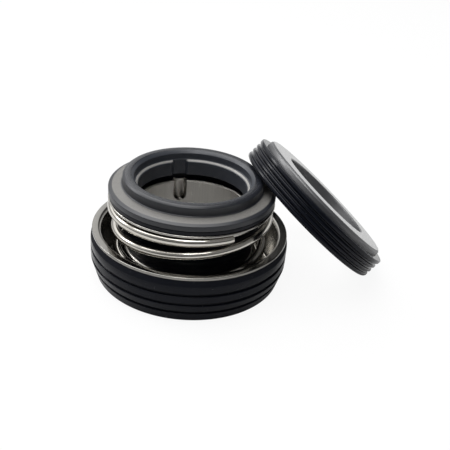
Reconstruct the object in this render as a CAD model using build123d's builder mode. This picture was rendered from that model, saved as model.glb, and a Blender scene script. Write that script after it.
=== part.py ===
from build123d import *
import math
import os

# Component mechanical seal: a sprung seal head in a drawn steel case, and the
# mating seat that leans on it.
#
# Frame: the origin is on the head's axis, in the plane of the case's base, and
# +Z runs up that axis to the sealing face. Lengths are millimetres and angles
# are degrees. Angles about the axis are measured from +X towards +Y.

# ---------------------------------------------------------------- dimensions

# Clearances
bond_gap = 0.05             # between a rubber piece and what it is bonded to
seat_gap = 0.1              # between pieces that press on each other along the axis
running_gap = 0.2           # between pieces that move past each other
coil_gap = 0.15             # between the lowest coil and the bead that it surrounds

# Case, drawn from one sheet: a flanged cup with a tube up its middle
sheet = 0.7
tube_bore_r = 13.6
tube_height = 17.6
cup_room = 6.9              # between the tube and the cup's wall
cup_height = 12.15          # base to top of flange
flange_width = 1.6          # beyond the cup's wall
base_bend_r = 0.9           # centre-line radius at the foot of cup and tube
flange_bend_r = 0.65        # centre-line radius under the flange

# Key rib, pressed outwards in the top of the tube
rib_angle = 103.7
rib_width = 3.9             # of the channel that it makes in the bore
rib_height = 1.15
rib_length = 5.5
rib_taper = 26.0

# Rubber cover on the outside of the cup
cover_wall = 1.95           # under the lands, a press fit in the housing
cover_neck_setback = 0.05   # inside the flange's rim, where the cover meets it
cover_neck_height = 1.65    # in which the cover swells to its full size
cover_neck_r = 1.5          # rounding where it has swelled
cover_lead_in = 1.4         # how far it draws in towards the base, in radius
cover_lead_in_top = 5.0     # height at which it starts to
cover_base = 0.2            # the cover stops short of the base
cover_foot_r = 0.4          # rounding at its foot
cover_groove_pitch = 2.45
cover_groove_first = 2.88   # height of the lowest groove
cover_grooves = 3
cover_groove_width = 0.7
cover_groove_depth = 0.6
cover_groove_floor_r = 0.25  # rounding in the bottom of a groove
land_edge_r = 0.12

# Carbon ring
ring_travel = 1.8           # from rest until it stops short of the tube
ring_bore_step = 0.8        # how much smaller its bore is than the tube's, in radius
ring_bore_chamfer = 0.5
ledge_width = 0.95          # bore to counterbore
counterbore_depth = 2.25
face_bevel = 0.75           # round the counterbore's mouth
face_width = 1.4
nose_chamfer_width = 0.53
nose_chamfer_height = 0.45
nose_height = 2.35          # shoulder to face
nose_fillet_r = 0.35
shoulder_width = 2.27
shoulder_drop = 0.35        # the shoulder falls away from the nose
body_chamfer_width = 1.0
body_chamfer_height = 0.4
body_height = 1.95          # top of the shoulder to the underside of the body
spigot_wall = 3.4
spigot_length = 1.85
key_slot_width = 4.0
key_slot_depth = 0.8
key_slot_turn = 2.2         # how far the ring is turned off the rib, in their play

# Bellows
bellows_flange = 0.95       # thickness under the ring's body
bellows_flange_setback = 0.2
pocket_wall = 0.8           # round the spigot
bellows_wall = 0.7
bellows_lip = 0.8           # under the spigot
bellows_rib_room = 0.7      # straight wall left below the rib
bellows_taper = 2.9         # height in which the wall necks in to the foot
bellows_foot_wall = 0.8
bellows_bead_width = 0.8
bellows_bead_height = 1.5

# Clamp ring round the foot of the bellows
clamp_wall = 0.7
clamp_setback = 0.95        # below the end of the neck
clamp_lead_in = 0.35

# Spring retainer
retainer_sheet = 0.55
retainer_overhang = 0.75    # beyond the centre of the wire under it
retainer_skirt = 2.4        # top of washer to the skirt's lower edge

# Spring: round wire, wound clockwise going down, wide at the top
wire_d = 2.1
spring_flare = 1.85         # how much wider its top is, in radius
spring_start_angle = -60.5
spring_points_per_turn = 12
spring_pitch_blend = 0.07   # turns over which one pitch runs into the next
top_coil_pitch = 2.53
top_coil_turns = 0.95
bottom_coil_pitch = 2.12
bottom_coil_turns = 0.85
open_coil_turns = (0.40, 1.0, 0.60)
open_coil_shares = (0.35, 0.445, 0.205)
spring_flare_shares = (0.72, 0.49, 0.16, 0.05, 0.0)

# Mating seat: a ring in a rubber boot, leaning on the nose of the carbon ring
seat_tilt = 41.35           # its axis from the vertical
seat_heading = 11.9         # the way its face looks
seat_side_shift = 0.65      # its centre, across that heading
seat_bore_r = 12.48
seat_ring_wall = 6.62
seat_ring_proud = 1.42      # how far the ring's face stands out of the boot
seat_face_chamfer = 0.5
seat_bore_chamfer = 0.25
boot_wall = 1.9
boot_back = 1.5             # thickness behind the ring
boot_lip = 3.1              # how far the back reaches in under the ring
boot_edge_r = 0.6           # rounding at the back
boot_rim_r = 0.3
boot_groove_pitch = 1.34
boot_groove_first = 1.38
boot_grooves = 3
boot_groove_width = 0.65
boot_groove_depth = 0.6
boot_land_edge_r = 0.2
boot_top_land = 1.39        # highest groove to the rim

# ------------------------------------------------------------ derived sizes

tube_r = tube_bore_r + sheet
cup_r = tube_r + cup_room + sheet
flange_r = cup_r + flange_width
floor_top = sheet
flange_underside = cup_height - sheet

cover_r = cup_r + cover_wall
cover_neck_outer_r = flange_r - cover_neck_setback
cover_land_top = flange_underside - cover_neck_height
cover_groove_heights = [cover_groove_first + i * cover_groove_pitch for i in range(cover_grooves)]

spigot_underside = tube_height + ring_travel + running_gap
body_underside = spigot_underside + spigot_length
shoulder_height = body_underside + body_height
face_height = shoulder_height + nose_height
counterbore_height = face_height - counterbore_depth
ring_bore_r = tube_bore_r - ring_bore_step
spigot_r = ring_bore_r + spigot_wall
key_slot_r = ring_bore_r + key_slot_depth
counterbore_r = ring_bore_r + ledge_width
face_inner_r = counterbore_r + face_bevel
face_outer_r = face_inner_r + face_width
nose_r = face_outer_r + nose_chamfer_width
shoulder_r = nose_r + shoulder_width
shoulder_foot = shoulder_height - shoulder_drop
body_r = shoulder_r + body_chamfer_width

bellows_top = body_underside - seat_gap
bellows_flange_r = body_r - bellows_flange_setback
bellows_flange_underside = bellows_top - bellows_flange
pocket_r = spigot_r + bond_gap
pocket_outer_r = pocket_r + pocket_wall
lip_top = spigot_underside - bond_gap
bellows_inner_r = tube_r + rib_height + running_gap
bellows_outer_r = bellows_inner_r + bellows_wall
neck_top = tube_height - rib_length - bellows_rib_room
neck_foot = neck_top - bellows_taper
foot_inner_r = tube_r + bond_gap
foot_outer_r = foot_inner_r + bellows_foot_wall
foot_base = floor_top + bond_gap
bead_top = foot_base + bellows_bead_height
bead_r = foot_outer_r + bellows_bead_width

clamp_bore_r = foot_outer_r + bond_gap
clamp_base = bead_top + seat_gap
clamp_top = neck_foot - clamp_setback

spring_bottom_r = bead_r + coil_gap + wire_d / 2
spring_top_r = spring_bottom_r + spring_flare
retainer_top = bellows_flange_underside - seat_gap
retainer_bore_r = pocket_outer_r + seat_gap
retainer_r = spring_top_r + retainer_overhang
spring_top = retainer_top - retainer_sheet - seat_gap - wire_d / 2
spring_bottom = floor_top + seat_gap + wire_d / 2

seat_ring_r = seat_bore_r + seat_ring_wall
boot_bore_r = seat_ring_r + bond_gap
boot_r = boot_bore_r + boot_wall
boot_groove_heights = [boot_groove_first + i * boot_groove_pitch for i in range(boot_grooves)]
boot_height = boot_groove_heights[-1] + boot_top_land
seat_face = boot_height + seat_ring_proud


# ------------------------------------------------------------------- spring

def spring_stages():
    """Each stretch of the spring as (turns, drop, radius at its lower end)."""
    top_drop = top_coil_turns * top_coil_pitch
    bottom_drop = bottom_coil_turns * bottom_coil_pitch
    open_drop = spring_top - spring_bottom - top_drop - bottom_drop
    turns = (top_coil_turns, *open_coil_turns, bottom_coil_turns)
    drops = (top_drop, *(share * open_drop for share in open_coil_shares), bottom_drop)
    end_radii = [spring_bottom_r + share * spring_flare for share in spring_flare_shares]
    return list(zip(turns, drops, end_radii))


def spring_station(turn):
    """Radius and height of the wire's centre, a number of turns below its top end."""
    radius = spring_top_r
    height = spring_top
    for turns, drop, end_r in spring_stages():
        share = min(turn / turns, 1.0)
        radius += (end_r - radius) * share
        height -= drop * share
        turn -= turns
        if turn <= 0:
            break
    return radius, height


def spring_point(turn, last_turn):
    """A point of the wire's centre line, with the changes of pitch smoothed."""
    steps = 4
    reach = min(spring_pitch_blend, turn, last_turn - turn)
    stations = [spring_station(turn + reach * i / steps) for i in range(-steps, steps + 1)]
    radius = sum(r for r, h in stations) / len(stations)
    height = sum(h for r, h in stations) / len(stations)
    # The arcs pass inside the points, so the points stand out by as much.
    radius /= math.cos(math.pi / spring_points_per_turn)
    angle = math.radians(spring_start_angle - 360 * turn)
    return (radius * math.cos(angle), radius * math.sin(angle), height)


def spring_path():
    """The wire's centre line: short straight runs joined by wide tangent arcs."""
    last_turn = sum(turns for turns, drop, end_r in spring_stages())
    count = round(last_turn * spring_points_per_turn)
    points = [spring_point(last_turn * i / count, last_turn) for i in range(count + 1)]
    runs = [math.dist(a, b) for a, b in zip(points, points[1:])]
    half_turn = math.radians(360 / spring_points_per_turn) / 2
    bend_r = 0.45 * min(runs) / math.tan(half_turn)
    return FilletPolyline(*points, radius=bend_r)


# ---------------------------------------------------------- corners of sections

def corners_at(section, heights, beyond=0.0):
    """The corners of a section at some heights, and beyond some radius."""
    return [
        corner for corner in section.vertices()
        if corner.X > beyond and any(abs(corner.Y - h) < 0.001 for h in heights)
    ]


def groove_edges(section, outer_r, height, width, depth):
    """The corners where a ring groove breaks the outside of a section."""
    edges = (height - width / 2, height + width / 2)
    return corners_at(section, edges, beyond=outer_r - depth / 4)


# --------------------------------------------------------------------- case

rib_out = Vector(1, 0, 0).rotate(Axis.Z, rib_angle)
rib_across = Vector(0, 0, 1).cross(rib_out)

with BuildPart() as case:
    with BuildSketch(Plane.XZ):
        with BuildLine():
            FilletPolyline(
                (tube_bore_r + sheet / 2, tube_height),
                (tube_bore_r + sheet / 2, sheet / 2),
                (cup_r - sheet / 2, sheet / 2),
                (cup_r - sheet / 2, cup_height - sheet / 2),
                (flange_r, cup_height - sheet / 2),
                radius=(base_bend_r, base_bend_r, flange_bend_r),
            )
        trace(line_width=sheet)
    revolve(axis=Axis.Z)
    # The rib is a hollow channel, open to the bore and at the tube's top.
    for wall, mode in ((sheet, Mode.ADD), (0, Mode.SUBTRACT)):
        width = rib_width + 2 * wall
        start_r = tube_bore_r + wall - sheet
        with BuildSketch(Plane(origin=rib_out * start_r, x_dir=rib_across, z_dir=rib_out)):
            foot_centre = tube_height - rib_length - wall + width / 2
            with Locations((0, foot_centre)):
                Circle(width / 2)
                Rectangle(width, tube_height - foot_centre, align=(Align.CENTER, Align.MIN))
        extrude(amount=tube_bore_r + rib_height + wall - start_r, taper=rib_taper, mode=mode)


# --------------------------------------------------------------- case rubber

def cover_radius(height):
    """The cover's radius at its lands, at a height: it draws in below the lead-in's top."""
    below = max(cover_lead_in_top - height, 0)
    return cover_r - cover_lead_in * below / (cover_lead_in_top - cover_base)


with BuildPart() as case_rubber:
    with BuildSketch(Plane.XZ) as cover_section:
        with BuildLine():
            Polyline(
                (cup_r - sheet / 2, cover_base),
                (cover_radius(cover_base), cover_base),
                (cover_r, cover_lead_in_top),
                (cover_r, cover_land_top),
                (cover_neck_outer_r, flange_underside),
                (cup_r - sheet / 2, flange_underside),
                close=True,
            )
        make_face()
        fillet(corners_at(cover_section, [cover_base], beyond=cup_r), radius=cover_foot_r)
        fillet(corners_at(cover_section, [cover_land_top]), radius=cover_neck_r)
        for height in cover_groove_heights:
            outer_r = cover_radius(height)
            with Locations((outer_r, height)):
                RectangleRounded(
                    2 * cover_groove_depth,
                    cover_groove_width,
                    cover_groove_floor_r,
                    mode=Mode.SUBTRACT,
                )
            land_edges = groove_edges(
                cover_section, outer_r, height, cover_groove_width, cover_groove_depth
            )
            fillet(land_edges, radius=land_edge_r)
    revolve(axis=Axis.Z)
    # The cover takes the form of the wall and of the bends that it is moulded on.
    add(case.part, mode=Mode.SUBTRACT)


# ------------------------------------------------------------------- bellows

with BuildPart() as bellows:
    with BuildSketch(Plane.XZ) as bellows_section:
        with BuildLine():
            Polyline(
                (pocket_r, bellows_top),
                (bellows_flange_r, bellows_top),
                (bellows_flange_r, bellows_flange_underside),
                (pocket_outer_r, bellows_flange_underside),
                (pocket_outer_r, lip_top - bellows_lip),
                (bellows_outer_r, lip_top - 2 * bellows_lip),
                (bellows_outer_r, neck_top),
                (foot_outer_r, neck_foot),
                (foot_outer_r, bead_top),
                (bead_r, bead_top),
                (bead_r, foot_base),
                (foot_inner_r, foot_base),
                (foot_inner_r, neck_foot),
                (bellows_inner_r, neck_top),
                (bellows_inner_r, lip_top),
                (pocket_r, lip_top),
                close=True,
            )
        make_face()
        bends = corners_at(bellows_section, (neck_top, neck_foot, lip_top - bellows_lip))
        fillet(bends, radius=bellows_wall)
        foot_corner = bellows_section.vertices().group_by(Axis.Y)[0].sort_by(Axis.X)[0]
        fillet(foot_corner, radius=base_bend_r)
    revolve(axis=Axis.Z)


# --------------------------------------------------- clamp ring and retainer

with BuildPart() as bellows_clamp:
    with BuildSketch(Plane.XY.offset(clamp_base)):
        Circle(clamp_bore_r + clamp_wall)
        Circle(clamp_bore_r, mode=Mode.SUBTRACT)
    extrude(amount=clamp_top - clamp_base)
    top_rims = bellows_clamp.edges().filter_by(GeomType.CIRCLE).group_by(Axis.Z)[-1]
    chamfer(top_rims.sort_by(SortBy.RADIUS)[-1], clamp_lead_in)

with BuildPart() as spring_retainer:
    with BuildSketch(Plane.XZ):
        with BuildLine():
            FilletPolyline(
                (retainer_r, retainer_top - retainer_sheet / 2),
                (retainer_bore_r + retainer_sheet / 2, retainer_top - retainer_sheet / 2),
                (retainer_bore_r + retainer_sheet / 2, retainer_top - retainer_skirt),
                radius=retainer_sheet,
            )
        trace(line_width=retainer_sheet)
    revolve(axis=Axis.Z)


# -------------------------------------------------------------------- spring

with BuildPart() as spring:
    with BuildLine() as spring_line:
        spring_path()
    with BuildSketch(Plane(origin=spring_line.line @ 0, z_dir=spring_line.line % 0)):
        Circle(wire_d / 2)
    sweep()


# --------------------------------------------------------------- carbon ring

with BuildPart() as carbon_ring:
    with BuildSketch(Plane.XZ) as carbon_section:
        with BuildLine():
            Polyline(
                (face_inner_r, face_height),
                (face_outer_r, face_height),
                (nose_r, face_height - nose_chamfer_height),
                (nose_r, shoulder_height),
                (shoulder_r, shoulder_foot),
                (body_r, shoulder_foot - body_chamfer_height),
                (body_r, body_underside),
                (spigot_r, body_underside),
                (spigot_r, spigot_underside),
                (ring_bore_r, spigot_underside),
                (ring_bore_r, counterbore_height - ring_bore_chamfer),
                (ring_bore_r + ring_bore_chamfer, counterbore_height),
                (counterbore_r, counterbore_height),
                (counterbore_r, face_height - face_bevel),
                close=True,
            )
        make_face()
        nose_foot = min(corners_at(carbon_section, [shoulder_height]), key=lambda corner: corner.X)
        fillet(nose_foot, radius=nose_fillet_r)
    revolve(axis=Axis.Z)
    # The key slot runs the length of the bore, above the tube's rib.
    with BuildSketch(Plane.XY.offset(spigot_underside)):
        with PolarLocations(key_slot_r / 2, 1, start_angle=rib_angle + key_slot_turn):
            Rectangle(key_slot_r, key_slot_width)
    extrude(amount=counterbore_height - spigot_underside, mode=Mode.SUBTRACT)


# -------------------------------------------------------------- mating seat

tilt = math.radians(seat_tilt)
lean = Vector(1, 0, 0).rotate(Axis.Z, seat_heading)
seat_axis = lean * math.sin(tilt) + Vector(0, 0, math.cos(tilt))

# The boot's back plane touches the rim of the ring's face, and the boot's
# lower edge touches the surface that the head stands on.
nose_rim = lean * face_outer_r + Vector(0, 0, face_height)
boot_foot = boot_edge_r + (boot_r - boot_edge_r) * math.sin(tilt) - boot_edge_r * math.cos(tilt)
along_lean = (seat_axis.dot(nose_rim) + seat_gap - boot_foot * math.cos(tilt)) / math.sin(tilt)
seat_sideways = Vector(0, 0, 1).cross(lean)
seat_origin = lean * along_lean + seat_sideways * seat_side_shift + Vector(0, 0, boot_foot)
seat_line = Axis(seat_origin, seat_axis)
seat_section_plane = Plane(origin=seat_origin, x_dir=seat_sideways, z_dir=seat_sideways.cross(seat_axis))

with BuildPart() as seat_ring:
    with BuildSketch(seat_section_plane) as seat_section:
        with Locations((seat_bore_r, boot_back)):
            Rectangle(seat_ring_wall, seat_face - boot_back, align=(Align.MIN, Align.MIN))
        face_corners = seat_section.vertices().group_by(Axis.Y)[-1].sort_by(Axis.X)
        chamfer(face_corners[-1], length=seat_face_chamfer)
        chamfer(face_corners[0], length=seat_bore_chamfer)
    revolve(axis=seat_line)

with BuildPart() as seat_boot:
    with BuildSketch(seat_section_plane) as boot_section:
        with Locations((seat_ring_r - boot_lip, 0)):
            Rectangle(boot_lip + bond_gap + boot_wall, boot_back - bond_gap, align=(Align.MIN, Align.MIN))
        with Locations((boot_bore_r, 0)):
            Rectangle(boot_wall, boot_height, align=(Align.MIN, Align.MIN))
        outer_corners = boot_section.vertices().group_by(Axis.X)[-1].sort_by(Axis.Y)
        fillet(outer_corners[0], radius=boot_edge_r)
        fillet(outer_corners[-1], radius=boot_rim_r)
        with Locations(*((boot_r, height) for height in boot_groove_heights)):
            SlotOverall(2 * boot_groove_depth, boot_groove_width, mode=Mode.SUBTRACT)
        for height in boot_groove_heights:
            land_edges = groove_edges(
                boot_section, boot_r, height, boot_groove_width, boot_groove_depth
            )
            fillet(land_edges, radius=boot_land_edge_r)
    revolve(axis=seat_line)


# -------------------------------------------------------------------- output

pieces = {
    "case": case,
    "case_rubber": case_rubber,
    "bellows": bellows,
    "bellows_clamp": bellows_clamp,
    "spring": spring,
    "spring_retainer": spring_retainer,
    "carbon_ring": carbon_ring,
    "seat_ring": seat_ring,
    "seat_boot": seat_boot,
}
os.makedirs("parts", exist_ok=True)
for name, piece in pieces.items():
    piece.part.label = name
    export_step(piece.part, f"parts/{name}.step")
print(f"ring travel {ring_travel:.2f} mm, spring wire from {spring_bottom:.2f} to {spring_top:.2f} mm")
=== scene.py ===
# %% [markdown]
# # A component mechanical seal
# A mechanical seal keeps a pump's liquid from running out along its shaft. It
# comes in two halves. The seal head is a flanged steel case in a ribbed rubber
# cover, with a carbon ring that a spring pushes up. The mating seat is a hard
# ring in a rubber boot. In the pump the two lapped faces rub on each other, and
# here the seat leans on the head as it would on a workbench.
#
# The solids and their sizes come from an imported CAD model.
# This lesson loads that model as a fixed frame, makes a finer piece around each
# solid, and gives every piece a finish that is worked out from nodes.

import math

import bmesh
import bpy
from mathutils import Matrix, Quaternion, Vector


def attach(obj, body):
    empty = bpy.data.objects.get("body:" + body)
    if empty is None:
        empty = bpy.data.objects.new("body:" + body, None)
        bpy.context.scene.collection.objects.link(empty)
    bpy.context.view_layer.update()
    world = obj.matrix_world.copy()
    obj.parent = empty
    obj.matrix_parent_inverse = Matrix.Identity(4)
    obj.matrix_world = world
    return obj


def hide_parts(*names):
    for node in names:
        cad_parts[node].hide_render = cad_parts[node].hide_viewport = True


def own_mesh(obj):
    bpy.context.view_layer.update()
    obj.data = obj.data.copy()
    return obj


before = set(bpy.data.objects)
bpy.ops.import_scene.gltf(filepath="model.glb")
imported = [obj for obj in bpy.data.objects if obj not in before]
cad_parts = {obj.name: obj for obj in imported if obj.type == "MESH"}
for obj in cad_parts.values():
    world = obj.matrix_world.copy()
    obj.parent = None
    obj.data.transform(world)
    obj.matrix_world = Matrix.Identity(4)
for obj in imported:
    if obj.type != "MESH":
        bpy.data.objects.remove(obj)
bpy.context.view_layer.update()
MM = 0.001
print("solids:", ", ".join(sorted(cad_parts)))

# %% [markdown]
# ## Sizes that several pieces share
# The pieces of a seal fit in one another, so one piece's size comes back in the
# next one's section and in the marks of its finish. Lengths are in millimetres,
# heights are above the bench, and angles are in degrees from +X towards +Y.

# %% Shared sizes
tube_bore_r, tube_r, tube_top, sheet = 13.6, 14.3, 17.6, 0.7
cup_inner_r, cup_r = 21.2, 21.9
flange_r, flange_top, flange_under = 23.5, 12.15, 11.45
bore_r, counterbore_r, ledge_top = 12.8, 13.75, 23.5
face_inner_r, face_outer_r, face_height = 14.5, 15.9, 25.75
nose_r, shoulder_top, shoulder_r, shoulder_foot = 16.43, 23.4, 18.7, 23.05
body_r, body_top, body_foot = 19.7, 22.65, 21.45
spigot_r, spigot_foot = 16.2, 19.6
print("the sealing face is", round(face_outer_r - face_inner_r, 2), "mm wide")

# %% [markdown]
# ## Turned pieces
# Nearly every piece of a seal is turned or moulded round one axis, so its shape
# is told by half of its section. We could write out all the rings of points,
# but a few corners and three mesh operators do the same work. A face is laid
# out from the corners, its corners are rounded with a vertex bevel, and its
# outline is spun round the axis. A corner is given as its radius, its height and
# the length of its rounding, all in millimetres.

# %% Lay out a section
def section(corners):
    """A flat face from (radius, height, rounding) corners, with the corners rounded."""
    bm = bmesh.new()
    verts = [bm.verts.new((r * MM, 0, z * MM)) for r, z, rounding in corners]
    bm.faces.new(verts)
    for size in sorted({corner[2] for corner in corners if corner[2]}):
        chosen = [v for v, corner in zip(verts, corners) if corner[2] == size]
        bmesh.ops.bevel(
            bm, geom=chosen, offset=size * MM, offset_type="OFFSET",
            segments=2 if size < 0.1 else 4 if size < 0.35 else 8,
            profile=0.5, affect="VERTICES", material=-1,
        )
    return bm


sample = section([(10, 0, 0.5), (12, 0, 0.5), (12, 3, 0.1), (10, 3, 0.1)])
print("a rounded section has", len(sample.verts), "points")
sample.free()

# %% [markdown]
# A groove is four more corners on the way up the outside of a section. Its two
# lips get a small rounding and its floor gets one that is nearly half its width,
# so that the floor is round, as in the mould.

# %% Grooves and the spin
def groove(radius_at, height, width, depth, lip):
    """The corners of one ring groove, from its lower lip to its upper one."""
    low, high = height - width / 2, height + width / 2
    floor_r = radius_at(height) - depth
    return [
        (radius_at(low), low, lip), (floor_r, low, 0.45 * width),
        (floor_r, high, 0.45 * width), (radius_at(high), high, lip),
    ]


def spin_round(bm, stretches, start=0.0):
    """Spins the section's outline all the way round, in (degrees, steps) stretches."""
    bmesh.ops.delete(bm, geom=bm.faces[:], context="FACES_ONLY")
    bmesh.ops.rotate(
        bm, verts=bm.verts[:], cent=(0, 0, 0),
        matrix=Matrix.Rotation(math.radians(start), 3, "Z"),
    )
    geom = bm.verts[:] + bm.edges[:]
    for degrees, steps in stretches:
        made = bmesh.ops.spin(
            bm, geom=geom, cent=(0, 0, 0), axis=(0, 0, 1), dvec=(0, 0, 0),
            angle=math.radians(degrees), steps=steps, use_merge=len(stretches) == 1,
        )
        geom = made["geom_last"]
    bmesh.ops.remove_doubles(bm, verts=bm.verts[:], dist=0.0005 * MM)
    bmesh.ops.recalc_face_normals(bm, faces=bm.faces[:])


def finish_piece(bm, name, body, material):
    """Turns the mesh into a piece that rides a body."""
    mesh = bpy.data.meshes.new(name)
    bm.to_mesh(mesh)
    bm.free()
    mesh.shade_smooth()
    mesh.materials.append(material)
    piece = bpy.data.objects.new(name, mesh)
    bpy.context.scene.collection.objects.link(piece)
    even = piece.modifiers.new("Even shading", "WEIGHTED_NORMAL")
    even.keep_sharp = True
    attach(piece, body)
    size = [round(x / MM, 1) for x in piece.dimensions]
    print(name, "has", len(mesh.polygons), "faces and measures", size, "mm")
    return piece


FULL_TURN = [(360, 288)]

# %% [markdown]
# ## Shader sums as plain Python
# A finish is a small tree of nodes. Wired by hand, a sum such as 1 - mask * 0.2
# takes three nodes and four links, and the idea gets lost. Here a small class
# wraps a socket and overloads Python's operators, so the sum is written as a
# sum and adds its own Math nodes. Every other node comes from one method that
# takes its type, its settings, and the values or links of its sockets.

# %% A socket that does sums
class Value:
    """The output of a node, on which Python's operators add Math nodes."""

    def __init__(self, tree, socket):
        self.tree = tree
        self.socket = socket

    def maths(self, operation, *inputs, clamp=False):
        settings = {"operation": operation, "use_clamp": clamp}
        return self.tree.node("Math", settings, dict(enumerate(inputs)))

    def __add__(self, other):
        return self.maths("ADD", self, other)

    def __sub__(self, other):
        return self.maths("SUBTRACT", self, other)

    def __rsub__(self, other):
        return self.maths("SUBTRACT", other, self)

    def __mul__(self, other):
        return self.maths("MULTIPLY", self, other)

    def __truediv__(self, other):
        return self.maths("DIVIDE", self, other)

    def __rtruediv__(self, other):
        return self.maths("DIVIDE", other, self)

    __radd__ = __add__
    __rmul__ = __mul__

    def between(self, low, high):
        """0 where the value is at low, 1 where it is at high, and clamped."""
        inputs = {"Value": self, "From Min": low, "From Max": high}
        return self.tree.node("MapRange", {"clamp": True}, inputs, "Result")


class Tree:
    """A node tree that is filled in one node at a time."""

    def __init__(self, owner):
        owner.use_nodes = True
        self.nodes = owner.node_tree.nodes
        self.links = owner.node_tree.links

    def put(self, socket, value):
        if isinstance(value, Value):
            self.links.new(value.socket, socket)
        else:
            socket.default_value = value

    def node(self, kind, settings=None, inputs=None, output=0):
        made = self.nodes.new("ShaderNode" + kind)
        for name, value in (settings or {}).items():
            setattr(made, name, value)
        for name, value in (inputs or {}).items():
            self.put(made.inputs[name], value)
        return Value(self, made.outputs[output])

    def split(self, vector):
        """The x, y and z of a vector."""
        made = self.nodes.new("ShaderNodeSeparateXYZ")
        self.put(made.inputs[0], vector)
        return [Value(self, output) for output in made.outputs]

    def ray(self, *kinds):
        """1 for a ray of one of these kinds, and 0 for any other."""
        path = self.nodes.new("ShaderNodeLightPath").outputs
        found = [Value(self, path[f"Is {kind} Ray"]) for kind in kinds]
        total = found[0]
        for other in found[1:]:
            total = total.maths("MAXIMUM", total, other)
        return total


class Finish(Tree):
    """A material on a Principled shader."""

    def __init__(self, name, **constants):
        self.material = bpy.data.materials.new(name)
        super().__init__(self.material)
        self.shader = self.nodes["Principled BSDF"]
        for socket, value in constants.items():
            self.shader.inputs[socket.replace("_", " ")].default_value = value

    def surface(self, name, value):
        self.put(self.shader.inputs[name], value)

    def place(self, inverse=None):
        """The place on the piece in millimetres, about the piece's own axis."""
        spot = self.node("TexCoord", output="Object")
        if inverse is not None:
            inputs = {
                "Vector": spot,
                "Location": inverse.to_translation(),
                "Rotation": inverse.to_euler(),
            }
            spot = self.node("Mapping", {"vector_type": "POINT"}, inputs)
        return self.node("VectorMath", {"operation": "SCALE"}, {0: spot, "Scale": 1 / MM})

    def join(self, x, y, z):
        return self.node("CombineXYZ", inputs={"X": x, "Y": y, "Z": z})

    def noise(self, vector, scale, detail=3.0, roughness=0.5):
        inputs = {"Vector": vector, "Scale": scale, "Detail": detail, "Roughness": roughness}
        return self.node("TexNoise", {"noise_dimensions": "3D"}, inputs, "Fac")

    def blend(self, factor, first, second):
        """A colour between two others."""
        made = self.nodes.new("ShaderNodeMix")
        made.data_type = "RGBA"
        self.put(made.inputs["Factor"], factor)
        self.put(made.inputs[6], first)
        self.put(made.inputs[7], second)
        return Value(self, made.outputs[2])

    def bump(self, height, strength, distance):
        inputs = {"Height": height, "Strength": strength, "Distance": distance * MM}
        self.surface("Normal", self.node("Bump", inputs=inputs, output="Normal"))

    def round_axis(self, inverse=None):
        """The place, its x and y as a direction, its radius and its height, for turned marks."""
        place = self.place(inverse)
        x, y, z = self.split(place)
        radius = (x * x + y * y).maths("SQRT", x * x + y * y)
        return place, x / radius, y / radius, radius, z


print("the helpers for finishes are ready")

# %% [markdown]
# ## Drawn stainless steel
# The case is pressed from satin stainless sheet. Drawing leaves fine lines that run with the
# metal, and handling leaves short scratches across them. A noise read on a direction from the
# axis, with the radius and the height stretched far out, gives rings with no seam. A second,
# finer noise along one slant gives the scratches. The finish also knows where on the case it is.
# The tube is duller, and it is painted paler as painted light, most of all on its rib as a
# painted highlight. The wall of the cup keeps few scratches. Low in the cup, away from its wall,
# the steel is painted darker as painted shade, and the flange is smoother and is painted darker
# as painted shade too.

# %% Steel
def steel_finish(name, dull, bright, roughness, marks):
    """Steel between two colours, with more or fewer scratches."""
    steel = Finish(name, Metallic=1.0)
    place, across, along, radius, height = steel.round_axis()
    around_tube = tube_r + 1.3
    past_tube = around_tube + 0.35
    in_tube = radius.between(past_tube, around_tube) * height.between(7.0, 8.0)
    rib_painted_highlight = radius.between(tube_r - 0.1, tube_r + 0.2)
    under_rim = height.between(flange_top - 0.55, flange_top - 1.55)
    in_cup = under_rim * radius.between(around_tube, past_tube)
    off_wall = radius.between(cup_inner_r - 0.1, cup_inner_r - 0.6)
    past_wall = radius.between(cup_inner_r + 0.3, cup_inner_r + 0.7)
    on_flange = height.between(flange_under - 0.25, flange_under + 0.05) * past_wall

    turned = steel.join(across * 1.5, along * 1.5, (radius + height) * 9.0)
    rings = steel.noise(turned, 1.0, 2.0)
    lengthways = steel.join(across * 45.0, along * 45.0, height * 0.12)
    drawn = steel.noise(lengthways, 1.0, 3.0, 0.6)
    slant = steel.node(
        "Mapping", {"vector_type": "POINT"},
        {"Vector": place, "Rotation": (0.0, 0.35, 0.9), "Scale": (0.35, 7.0, 7.0)},
    )
    scratches = steel.noise(slant, 1.0, 4.0, 0.7).between(0.58, 0.75)
    marked = scratches * marks * (1 - in_tube) * (1 - in_cup * 0.8)
    clouds = steel.noise(place, 0.35, 3.0)

    mixed = clouds * 0.3 + drawn * (0.4 + in_tube * 0.5) + marked * 0.4
    tone = steel.blend(mixed, (*dull, 1), (*bright, 1))
    # Painted light: the tube is painted paler, and its rib paler still as a painted highlight.
    tone = steel.blend(in_tube * (0.2 + rib_painted_highlight * 0.7), tone, (0.72, 0.69, 0.64, 1))
    # Painted shade: low in the cup away from its wall, and over the flange.
    shade = in_cup * off_wall * 0.12 + on_flange * 0.45
    steel.surface("Base Color", steel.blend(shade, tone, (0.035, 0.034, 0.032, 1)))
    uneven = rings * 0.04 + marked * 0.1 + in_tube * 0.22
    steel.surface("Roughness", roughness + uneven - on_flange * 0.06)
    steel.bump(rings * 0.3 + drawn * 0.3 + marked, 0.12, 0.003)
    return steel.material


drawn_steel = steel_finish("Drawn steel", (0.33, 0.32, 0.30), (0.50, 0.485, 0.45), 0.17, 0.6)
print("made", drawn_steel.name)

# %% [markdown]
# ## Spring wire
# Drawn wire is smoother and brighter than the sheet, with a warm tone and fine
# lines along it. The coils run nearly level, so lines round the axis follow it.

# %% Wire
# Low in the cup its coils get the same painted shade as the case.
spring_wire = steel_finish("Drawn wire", (0.50, 0.48, 0.44), (0.68, 0.655, 0.60), 0.11, 0.2)
print("made", spring_wire.name)

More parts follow.
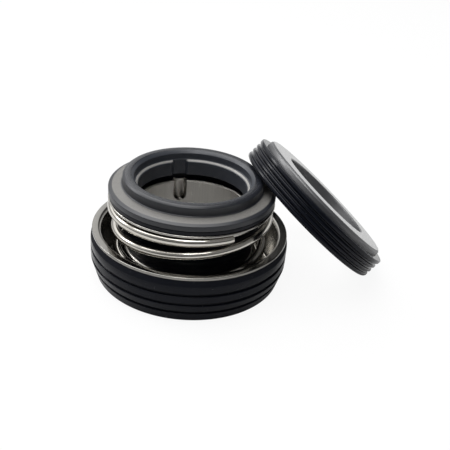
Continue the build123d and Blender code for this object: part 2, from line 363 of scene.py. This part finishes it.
# %% [markdown]
# ## Moulded rubber
# Nitrile rubber is nearly black with a trace of blue. Its skin copies the mould,
# so it has a soft, uneven sheen, and it always carries a little dust. Most of
# that is in the roughness, and a few specks are in the colour. The cover's upper
# band, where the flash was trimmed off under the flange, is duller than the rest.

# %% Rubber
def rubber_finish(name, roughness, gleam, inverse=None, dull_above=100.0):
    """Black rubber, which can be duller above some height."""
    rubber = Finish(name, Specular_IOR_Level=gleam)
    place, across, along, radius, height = rubber.round_axis(inverse)
    clouds = rubber.noise(place, 0.5, 4.0)
    skin = rubber.noise(place, 14.0, 3.0)
    turned = rubber.join(across * 2.0, along * 2.0, (radius + height) * 4.0)
    flow = rubber.noise(turned, 1.0, 2.0)
    specks = rubber.noise(place, 3.1, 1.0).between(0.775, 0.80)
    base = rubber.blend(clouds, (0.0030, 0.0038, 0.0068, 1), (0.0055, 0.0066, 0.0105, 1))
    rubber.surface("Base Color", rubber.blend(specks * 0.5, base, (0.16, 0.16, 0.16, 1)))
    trimmed = height.between(dull_above, dull_above + 0.3)
    uneven = clouds * 0.06 + flow * 0.05 + specks * 0.2
    rubber.surface("Roughness", roughness + uneven + trimmed * 0.6)
    rubber.bump(skin * 0.5 + flow * 0.5, 0.25, 0.010)
    return rubber.material


cover_land_top = 9.8
case_rubber_look = rubber_finish("Moulded rubber", 0.17, 0.12, dull_above=cover_land_top)
bellows_look = rubber_finish("Bellows rubber", 0.30, 0.15)
print("made", case_rubber_look.name, "and", bellows_look.name)

# %% [markdown]
# ## Carbon graphite
# The ring is turned from pressed carbon. It is dark grey with a dull metal gleam, the tool leaves
# fine rings on it, and its lapped face is smoother. The shoulder is painted lighter in grainy
# patches as a painted highlight, and it is a little rougher. The inside of the bore is painted a
# little paler as painted light, and the bevel on the ledge is painted bright as a painted
# highlight.

# %% Carbon
def carbon_finish():
    """Dark carbon, with its lapped face, its shoulder and its ledge set apart."""
    carbon = Finish("Carbon graphite", Specular_IOR_Level=0.5)
    place, across, along, radius, height = carbon.round_axis()
    lapped = height.between(face_height - 0.03, face_height - 0.01)
    below_top = height.between(shoulder_top + 0.1, shoulder_top + 0.02)
    above_foot = height.between(shoulder_foot - 0.1, shoulder_foot - 0.02)
    shoulder = below_top * above_foot * radius.between(nose_r + 0.27, nose_r + 0.47)
    inside = radius.between(face_inner_r - 0.05, face_inner_r - 0.15)
    on_bevel = height.between(ledge_top - 0.4, ledge_top - 0.25)
    under_ledge = height.between(ledge_top + 0.05, ledge_top)
    bevel = on_bevel * under_ledge * radius.between(bore_r + 0.65, bore_r + 0.55)

    turned = carbon.join(across * 1.2, along * 1.2, (radius + height) * 7.0)
    rings = carbon.noise(turned, 1.0, 3.0)
    grain = carbon.noise(place, 9.0, 4.0, 0.6)
    clouds = carbon.noise(place, 0.3, 3.0)
    mixed = grain * 0.4 + clouds * 0.3 + rings * 0.3
    tone = carbon.blend(mixed, (0.005, 0.006, 0.009, 1), (0.016, 0.018, 0.024, 1))
    # Painted light: the bore is painted a little paler.
    tone = carbon.blend(inside * 0.5, tone, (0.048, 0.054, 0.068, 1))
    # Painted highlight: the bevel on the ledge is painted bright.
    tone = carbon.blend(bevel * (0.5 + grain * 0.5), tone, (0.34, 0.33, 0.31, 1))
    # Painted highlight: the shoulder is painted lighter, broken up by the grain.
    tone = carbon.blend(shoulder * grain, tone, (0.24, 0.23, 0.21, 1))
    carbon.surface("Base Color", tone)
    uneven = rings * 0.08 + clouds * 0.06 + shoulder * 0.08
    carbon.surface("Roughness", 0.32 + uneven - lapped * 0.12)
    carbon.bump(rings * 0.7 + grain * 0.3, 0.25, 0.008)
    return carbon.material


carbon_look = carbon_finish()
print("made", carbon_look.name)

# %% [markdown]
# ## The steel case
# One sheet is drawn into a cup with a rolled-out flange, and its middle is
# pushed up into a tube. The section is the sheet followed out and back, with
# round bends. Near the top the tube has a key rib pressed outwards, which a slot
# in the carbon ring matches. A boolean cut would leave sharp edges, so the tube
# gets narrow steps there instead and a press moves its points outwards.

# %% A press for channels
def press_out(bm, angle, depth, half_width, wall, foot, low, high, chosen, limit=100.0):
    """Moves the chosen points away from the axis, where a channel with a round foot runs."""
    moved = 0
    for v in bm.verts:
        r, z = math.hypot(v.co.x, v.co.y) / MM, v.co.z / MM
        if not (low <= z <= high and chosen(r, z)):
            continue
        turn = (math.degrees(math.atan2(v.co.y, v.co.x)) - angle + 180) % 360 - 180
        if abs(turn) > 60:
            continue
        sideways = r * math.sin(math.radians(turn))
        below = max(0.0, foot + half_width - z)
        reach = math.hypot(sideways, below)
        share = min(1.0, max(0.0, (half_width + wall / 2 - reach) / wall))
        share = share * share * (3 - 2 * share)
        if share > 0:
            outward = Vector((v.co.x, v.co.y, 0)).normalized()
            v.co += outward * min(depth * share, limit - r) * MM
            moved += 1
    return moved


RIB_ANGLE = 103.7
RIB_HALF_SPAN = 12.0
FINE_STRETCHES = [(2 * RIB_HALF_SPAN, 96), (360 - 2 * RIB_HALF_SPAN, 264)]

# %% The case
rib_foot, rib_depth, rib_half_width = 12.25, 1.15, 1.3

case_mesh = section([
    (tube_bore_r, tube_top, 0.16), (tube_bore_r, rib_foot - 1.2, 0),
    (tube_bore_r, 0, 1.25), (cup_r, 0, 1.25), (cup_r, flange_under, 0.3),
    (flange_r, flange_under, 0.14), (flange_r, flange_top, 0.2),
    (cup_inner_r, flange_top, 1.0), (cup_inner_r, sheet, 0.55),
    (tube_r, sheet, 0.55), (tube_r, rib_foot - 1.2, 0), (tube_r, tube_top, 0.16),
])
long_edges = [
    e for e in case_mesh.edges
    if min(v.co.z for v in e.verts) > (rib_foot - 1.3) * MM and e.calc_length() > 4 * MM
]
bmesh.ops.subdivide_edges(case_mesh, edges=long_edges, cuts=28)
spin_round(case_mesh, FINE_STRETCHES, start=RIB_ANGLE - RIB_HALF_SPAN)
for near_r, half_width in ((tube_bore_r, rib_half_width), (tube_r, rib_half_width + 0.5)):
    moved = press_out(
        case_mesh, RIB_ANGLE, rib_depth, half_width, 0.9, rib_foot,
        rib_foot - 1.1, tube_top + 0.1, lambda r, z: abs(r - near_r) < 0.36,
    )
    print("the rib's press moved", moved, "points")
case = finish_piece(case_mesh, "case_sheet", "head", drawn_steel)
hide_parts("case")

# %% [markdown]
# ## The rubber cover
# The cover is moulded on the outside of the cup. Three grooves leave four lands
# that press into the housing. Towards the base it draws in, so that it finds the
# bore, and at the top it necks in a little to meet the flange. Its section is
# drawn up the outside, groove by groove, and down the wall.

# %% The cover
cover_r, cover_base = 23.85, 0.2
lead_in, lead_in_top = 1.4, 5.0
first_groove, groove_pitch, groove_width, groove_depth = 2.88, 2.45, 0.7, 0.6


def cover_radius(height):
    """The radius of the lands, which draw in below the lead-in's top."""
    below = max(0.0, lead_in_top - height)
    return cover_r - lead_in * below / (lead_in_top - cover_base)


cover_corners = [(cup_r - 0.32, cover_base, 0), (cover_radius(cover_base), cover_base, 0.4)]
for i in range(3):
    middle = first_groove + groove_pitch * i
    cover_corners += groove(cover_radius, middle, groove_width, groove_depth, 0.2)
cover_corners += [
    (cover_r, cover_land_top, 0.6), (flange_r - 0.05, flange_under - 0.02, 0.15),
    (cup_r + 0.02, flange_under - 0.02, 0), (cup_r + 0.02, 1.0, 0.4),
]
cover_mesh = section(cover_corners)
spin_round(cover_mesh, FULL_TURN)
cover = finish_piece(cover_mesh, "case_cover", "head", case_rubber_look)
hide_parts("case_rubber")

# %% [markdown]
# ## The bellows
# A thin rubber sleeve joins the carbon ring to the case's tube and lets the ring slide. From the
# top its section is a flange under the ring, a pocket round the ring's spigot, a straight wall, a
# neck, and a foot with a bead on the floor of the cup. As the ring slides it shortens. Its inner
# step moves a little less than the ring's foot above it, and has room for that.

# %% The bellows and its clamp ring
pocket_r, pocket_floor = spigot_r + 0.05, spigot_foot - 0.2
bellows_r, bellows_top, bellows_foot = 19.5, body_foot - 0.1, 0.75
collar_r, wall_r, wall_inner_r = 17.05, 16.35, 15.65
neck_r, neck_inner_r, bead_r = 15.15, 14.35, 15.95
wall_foot, neck_top, bead_top = 11.4, 8.5, 2.25
bellows_mesh = section([
    (pocket_r, bellows_top, 0.08), (bellows_r, bellows_top, 0.15),
    (bellows_r, 20.4, 0.15), (collar_r, 20.4, 0.25), (collar_r, 18.75, 0.5),
    (wall_r, 17.95, 0.4), (wall_r, wall_foot, 0.8), (neck_r, neck_top, 0.8),
    (neck_r, bead_top, 0.2), (bead_r, bead_top, 0.3), (bead_r, bellows_foot, 0.2),
    (neck_inner_r, bellows_foot, 0.7), (neck_inner_r, neck_top, 0.8),
    (wall_inner_r, wall_foot, 0.8), (wall_inner_r, pocket_floor, 0.1),
    (pocket_r, pocket_floor, 0.1),
])
spin_round(bellows_mesh, FULL_TURN)
bellows = finish_piece(bellows_mesh, "bellows_sleeve", "head", bellows_look)
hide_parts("bellows")

clamp_inner_r, clamp_r, clamp_foot, clamp_top = neck_r + 0.05, 15.9, 2.35, 7.55
clamp_mesh = section([
    (clamp_inner_r, clamp_foot, 0.08), (clamp_r, clamp_foot, 0.12),
    (clamp_r, clamp_top - 0.35, 0.12), (clamp_r - 0.35, clamp_top, 0.12),
    (clamp_inner_r, clamp_top, 0.08),
])
spin_round(clamp_mesh, FULL_TURN)
clamp = finish_piece(clamp_mesh, "clamp_ring", "head", drawn_steel)
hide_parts("bellows_clamp")

# %% [markdown]
# ## The spring retainer
# A pressed washer with a short skirt sits between the spring and the bellows.
# Only its bright rim shows. It moves with the carbon ring.

# %% The retainer
rim_r, washer_top, washer_under = 19.75, 20.3, 19.75
skirt_r, skirt_inner_r, skirt_foot = 17.7, 17.15, 17.9
retainer_mesh = section([
    (rim_r, washer_top, 0.25), (rim_r, washer_under, 0.25), (skirt_r, washer_under, 0.35),
    (skirt_r, skirt_foot, 0.12), (skirt_inner_r, skirt_foot, 0.12),
    (skirt_inner_r, washer_top, 0.6),
])
spin_round(retainer_mesh, FULL_TURN)
retainer = finish_piece(
    retainer_mesh, "retainer_washer", "sealing_ring", drawn_steel,
)
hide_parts("spring_retainer")

# %% [markdown]
# ## The carbon ring
# The ring's nose carries the sealing face. A shoulder and a chamfer lead out to
# its body, and a spigot hangs down inside the bellows. The bore is stepped, with
# a wide counterbore above a ledge, and below the ledge a key slot runs down the
# bore. The slot is pressed out of narrow steps, as the tube's rib is, because
# its corners are round on the real ring. It stops short of the counterbore's wall.

# %% The carbon ring
slot_angle, slot_depth, slot_half_width = RIB_ANGLE + 2.2, 0.8, 1.7
ring_mesh = section([
    (face_inner_r, face_height, 0.06), (face_outer_r, face_height, 0.06),
    (nose_r, face_height - 0.45, 0.08), (nose_r, shoulder_top, 0.3),
    (shoulder_r, shoulder_foot, 0.1), (body_r, body_top, 0.1), (body_r, body_foot, 0.12),
    (spigot_r, body_foot, 0.1), (spigot_r, spigot_foot, 0.15), (bore_r, spigot_foot, 0.15),
    (bore_r, ledge_top - 0.5, 0.1), (bore_r + 0.5, ledge_top, 0.1),
    (counterbore_r, ledge_top, 0.15), (counterbore_r, face_height - 0.75, 0.1),
])
spin_round(ring_mesh, FINE_STRETCHES, start=slot_angle - RIB_HALF_SPAN)
moved = press_out(
    ring_mesh, slot_angle, slot_depth, slot_half_width, 0.65, 0.0,
    spigot_foot - 0.05, ledge_top + 0.01, lambda r, z: r < bore_r + 0.6,
    limit=counterbore_r - 0.15,
)
print("the key slot's press moved", moved, "points")
ring = finish_piece(ring_mesh, "carbon_seal_ring", "sealing_ring", carbon_look)
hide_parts("carbon_ring")

# %% [markdown]
# ## The spring
# The spring is round wire, wide at the top and narrow at the bottom, closed at
# both ends and open between. A curve with a round bevel would do, but a spin
# that also shifts the wire at every step needs no conversion and puts each ring
# of points where we want it. A table of stretches gives the turns, the drop and
# the radius at the end of each, and the pitch changes gently between them.

# %% The wire's path
WIRE_R = 1.05
SPRING_TOP, SPRING_TOP_R, SPRING_START = 18.6, 19.0, -60.5
spring_stretches = [
    (0.95, 2.404, 18.482), (0.40, 4.290, 18.057), (1.00, 5.454, 17.446),
    (0.60, 2.513, 17.243), (0.85, 1.802, 17.15),
]
LAST_TURN = sum(turns for turns, drop, end_r in spring_stretches)
drops = sum(drop for turns, drop, end_r in spring_stretches)


def wire_station(turn):
    """Radius and height of the wire's middle, some turns below its upper end."""
    radius, height = SPRING_TOP_R, SPRING_TOP
    for turns, drop, end_r in spring_stretches:
        share = min(max(turn / turns, 0.0), 1.0)
        radius += (end_r - radius) * share
        height -= drop * share
        turn -= turns
        if turn <= 0:
            break
    return radius, height


def smooth_station(turn):
    """The same, averaged over a twentieth of a turn on each side."""
    reach = min(0.05, turn, LAST_TURN - turn)
    near = [wire_station(turn + reach * i / 3) for i in range(-3, 4)]
    return [sum(values) / len(near) for values in zip(*near)]


print("the spring has", round(LAST_TURN, 2), "turns and drops", round(drops, 2), "mm")

# %% Wind the spring
STEPS_PER_TURN = 110
count = round(LAST_TURN * STEPS_PER_TURN)
turn_step = LAST_TURN / count
radius, height = smooth_station(0.0)
upright = Matrix.Translation((radius * MM, 0, height * MM)) @ Matrix.Rotation(math.pi / 2, 4, "X")
wire_mesh = bmesh.new()
bmesh.ops.create_circle(
    wire_mesh, cap_ends=True, segments=28, radius=WIRE_R * MM,
    matrix=Matrix.Rotation(math.radians(SPRING_START), 4, "Z") @ upright,
)
geom = wire_mesh.verts[:] + wire_mesh.edges[:]
for i in range(count):
    angle = math.radians(SPRING_START - 360 * turn_step * (i + 1))
    new_radius, new_height = smooth_station(turn_step * (i + 1))
    shift = Vector((math.cos(angle), math.sin(angle), 0)) * (new_radius - radius)
    shift.z = new_height - height
    made = bmesh.ops.spin(
        wire_mesh, geom=geom, cent=(0, 0, 0), axis=(0, 0, 1), dvec=shift * MM,
        angle=math.radians(-360 * turn_step), steps=1,
    )
    geom = made["geom_last"]
    radius, height = new_radius, new_height
last_loop = [e for e in geom if isinstance(e, bmesh.types.BMEdge)]
bmesh.ops.contextual_create(wire_mesh, geom=last_loop)
bmesh.ops.recalc_face_normals(wire_mesh, faces=wire_mesh.faces[:])
ends = [f for f in wire_mesh.faces if len(f.verts) > 4]
bmesh.ops.bevel(
    wire_mesh, geom=[e for f in ends for e in f.edges], offset=0.12 * MM, offset_type="OFFSET",
    segments=2, profile=0.5, affect="EDGES", material=-1,
)
spring = finish_piece(wire_mesh, "coil_spring", "head", spring_wire)
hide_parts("spring")

# %% [markdown]
# ## The mating seat
# The seat ring and its boot are turned about their own axis and then put where
# they lean. The boot's back plane rests on the rim of the ring's nose, and its
# lower edge stands on the bench. Both are spun about the upright axis first, and
# one matrix puts them in place, so the same matrix turned round brings a place
# on the seat back to its own axis for its finish.

# %% Where the seat leans
seat_tilt, seat_heading = math.radians(41.35), math.radians(11.9)
boot_r, boot_height, boot_edge = 21.05, 5.45, 0.6
seat_ring_r, seat_bore_r, seat_back, seat_face = 19.1, 12.48, 1.5, 6.87
lean = Vector((math.cos(seat_heading), math.sin(seat_heading), 0))
side = Vector((0, 0, 1)).cross(lean)
seat_axis = lean * math.sin(seat_tilt) + Vector((0, 0, math.cos(seat_tilt)))
across_boot = (boot_r - boot_edge) * math.sin(seat_tilt)
foot_height = boot_edge + across_boot - boot_edge * math.cos(seat_tilt)
nose_rim = lean * face_outer_r + Vector((0, 0, face_height))
lifted = foot_height * math.cos(seat_tilt)
reach = (seat_axis.dot(nose_rim) + 0.1 - lifted) / math.sin(seat_tilt)
seat_origin = lean * reach + side * 0.65 + Vector((0, 0, foot_height))
seat_place = Matrix((side, seat_axis.cross(side), seat_axis)).transposed().to_4x4()
seat_place.translation = seat_origin * MM
print("the seat's back is centred at", [round(x, 2) for x in seat_origin], "mm")

# %% [markdown]
# ## Grey ceramic
# The seat ring is ground all over and lapped on its face. Lapping leaves it smooth enough to
# mirror its surroundings, while the ground sides scatter them. The lapped face is also painted
# lighter, as a painted reflection.

# %% Ceramic and the boot's rubber
def ceramic_finish():
    """Ground grey ceramic with a lapped face, about the seat's own axis."""
    ceramic = Finish("Grey ceramic", IOR=2.0)
    place, across, along, radius, height = ceramic.round_axis(seat_place.inverted())
    turned = ceramic.join(across * 1.5, along * 1.5, (radius + height) * 8.0)
    rings = ceramic.noise(turned, 1.0, 3.0)
    grain = ceramic.noise(place, 6.0, 4.0, 0.6)
    lapped = height.between(seat_face - 0.03, seat_face - 0.01)
    ground = ceramic.blend(grain, (0.028, 0.029, 0.033, 1), (0.042, 0.043, 0.047, 1))
    # Painted reflection: the lapped face is painted lighter than the ground sides.
    ceramic.surface("Base Color", ceramic.blend(lapped, ground, (0.12, 0.12, 0.12, 1)))
    ceramic.surface("Roughness", 0.36 + rings * 0.10 - lapped * 0.22)
    ceramic.bump(rings * 0.6 + grain * 0.4, 0.15, 0.006)
    return ceramic.material


seat_ceramic = ceramic_finish()
boot_rubber = rubber_finish("Boot rubber", 0.15, 0.15, seat_place.inverted())
print("made", seat_ceramic.name, "and", boot_rubber.name)

# %% The seat ring and its boot
seat_mesh = section([
    (seat_bore_r, seat_back, 0.1), (seat_ring_r, seat_back, 0.2),
    (seat_ring_r, seat_face - 0.5, 0.1), (seat_ring_r - 0.5, seat_face, 0.05),
    (seat_bore_r + 0.25, seat_face, 0.05), (seat_bore_r, seat_face - 0.25, 0.05),
])
spin_round(seat_mesh, FULL_TURN)
bmesh.ops.transform(seat_mesh, matrix=seat_place, verts=seat_mesh.verts[:])
seat = finish_piece(seat_mesh, "mating_ring", "head", seat_ceramic)
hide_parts("seat_ring")

boot_first_groove, boot_groove_pitch, boot_groove_width = 1.38, 1.34, 0.65
boot_opening_r, boot_pocket_r = seat_ring_r - 3.1, seat_ring_r + 0.02
boot_corners = [(boot_opening_r, 0, 0.3), (boot_r, 0, boot_edge)]
for i in range(3):
    middle = boot_first_groove + boot_groove_pitch * i
    boot_corners += groove(lambda height: boot_r, middle, boot_groove_width, 0.6, 0.25)
boot_corners += [
    (boot_r, boot_height, 0.3), (boot_pocket_r, boot_height, 0.12),
    (boot_pocket_r, seat_back - 0.02, 0.1), (boot_opening_r, seat_back - 0.02, 0.2),
]
boot_mesh = section(boot_corners)
spin_round(boot_mesh, FULL_TURN)
bmesh.ops.transform(boot_mesh, matrix=seat_place, verts=boot_mesh.verts[:])
boot = finish_piece(boot_mesh, "seat_boot_rubber", "head", boot_rubber)
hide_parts("seat_boot")

# %% [markdown]
# ## The soft pieces get their own meshes
# When the carbon ring is pushed down, the spring and the bellows get shorter. Here each of them
# is only given a mesh of its own.

# %% Own meshes for the soft pieces
travel, spring_foot = 1.8, 0.8
for piece, foot in ((spring, spring_foot), (bellows, bellows_foot)):
    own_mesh(piece)

# %% [markdown]
# ## The studio
# The seal stands on a plain floor, which lies a hair below the bench height so
# that the two don't share a plane. The camera sees the floor nearly white, with a
# little of the real floor left in it for the seal's soft shadow. What the steel
# mirrors is mixed by place: behind the seal it is nearly white too, and in front
# it is the grey floor, which gets darker away from the seal.

# %% Floor
floor_mesh = bmesh.new()
bmesh.ops.create_grid(floor_mesh, x_segments=1, y_segments=1, size=1.5)
bmesh.ops.translate(floor_mesh, verts=floor_mesh.verts[:], vec=(0, 1.2, -0.00002))
floor_data = bpy.data.meshes.new("floor")
floor_mesh.to_mesh(floor_data)
floor_mesh.free()
floor = bpy.data.objects.new("floor", floor_data)
bpy.context.scene.collection.objects.link(floor)
pale = Finish("Pale floor", Roughness=0.9, Specular_IOR_Level=0.1)
backwards = pale.split(pale.node("TexCoord", output="Object"))[1]
far_front = backwards.between(-0.12, -0.35)
greys = pale.blend(far_front, (0.60, 0.60, 0.60, 1), (0.10, 0.10, 0.10, 1))
pale.surface("Base Color", greys)
white = pale.node("Emission", inputs={"Color": (1, 1, 1, 1), "Strength": 1.02})
seen = pale.ray("Camera", "Transmission") * 0.9
mirrored = pale.ray("Glossy") * backwards.between(-0.02, 0.10) * 0.85
grey = Value(pale, pale.shader.outputs[0])
both = pale.node("MixShader", inputs={0: seen + mirrored, 1: grey, 2: white})
pale.put(pale.nodes["Material Output"].inputs["Surface"], both)
floor_data.materials.append(pale.material)
print("the floor is", round(floor.dimensions.x, 2), "m wide")

# %% [markdown]
# ## Sky and lamps
# Polished steel shows whatever stands round it, so the sky isn't even. It is
# bright low down behind the seal and high up on the left, and dark in front. That
# draws a light band and a dark band along every wire and edge. The camera itself
# sees a white sky. Three softboxes do the rest: a wide one overhead, a small one
# on the left and a weak one in front.

# %% The sky and the lamps
world = bpy.data.worlds.new("Studio")
bpy.context.scene.world = world
sky = Tree(world)
heading = sky.split(sky.node("TexCoord", output="Generated"))
behind = heading[1].between(-0.6, 0.6)
horizon = heading[2].between(0.42, 0.12)
left = heading[0].between(0.10, -0.15)
above = heading[2].between(0.08, 0.40)
on_left = left * (above * 1.50 - horizon * 0.65)
light = 0.04 + above * 0.22 + behind * (on_left + horizon - 0.17)
seen_sky = light.maths("MAXIMUM", light, sky.ray("Camera", "Transmission"))
background = sky.nodes["Background"]
sky.put(background.inputs["Strength"], seen_sky)
background.inputs["Color"].default_value = (1, 1, 1, 1)


def softbox(name, place, target, width, height, watts):
    """A flat lamp that looks at a point. Places are in metres."""
    lamp = bpy.data.lights.new(name, "AREA")
    lamp.shape = "RECTANGLE"
    lamp.size, lamp.size_y, lamp.energy = width, height, watts
    made = bpy.data.objects.new(name, lamp)
    made.location = place
    made.rotation_mode = "QUATERNION"
    made.rotation_quaternion = (Vector(target) - Vector(place)).to_track_quat("-Z", "Y")
    bpy.context.scene.collection.objects.link(made)
    return made


seal_middle = (0, 0, 0.01)
softbox("Key", (-0.10, 0.08, 0.54), seal_middle, 0.60, 0.55, 3.8)
softbox("Side", (-0.56, 0.25, 0.38), seal_middle, 0.14, 0.18, 0.9)
softbox("Fill", (0.0, -0.25, 0.50), seal_middle, 0.25, 0.12, 0.45)
print("three softboxes light the bench")

# %% [markdown]
# ## The camera
# The camera stands close to the seal and looks down on it from the front, with
# the bench slightly turned in its view.

# %% Camera
eye = Vector((0, -0.14830, 0.09511))
view = Vector((0.04934, 0.87315, -0.48496))
camera_data = bpy.data.cameras.new("Camera")
camera = bpy.data.objects.new("Camera", camera_data)
bpy.context.scene.collection.objects.link(camera)
camera.location = eye
camera.rotation_mode = "QUATERNION"
roll = Quaternion((0, 0, 1), math.radians(5.172))
camera.rotation_quaternion = view.to_track_quat("-Z", "Y") @ roll
camera_data.sensor_width = 36
camera_data.lens = 55.92
camera_data.clip_start, camera_data.clip_end = 0.005, 10
bpy.context.scene.camera = camera
right_axis = camera.rotation_quaternion @ Vector((1, 0, 0))
print("the camera's right hand points along", [round(x, 5) for x in right_axis])

# %% View settings
scene = bpy.context.scene
scene.view_settings.view_transform = "Standard"
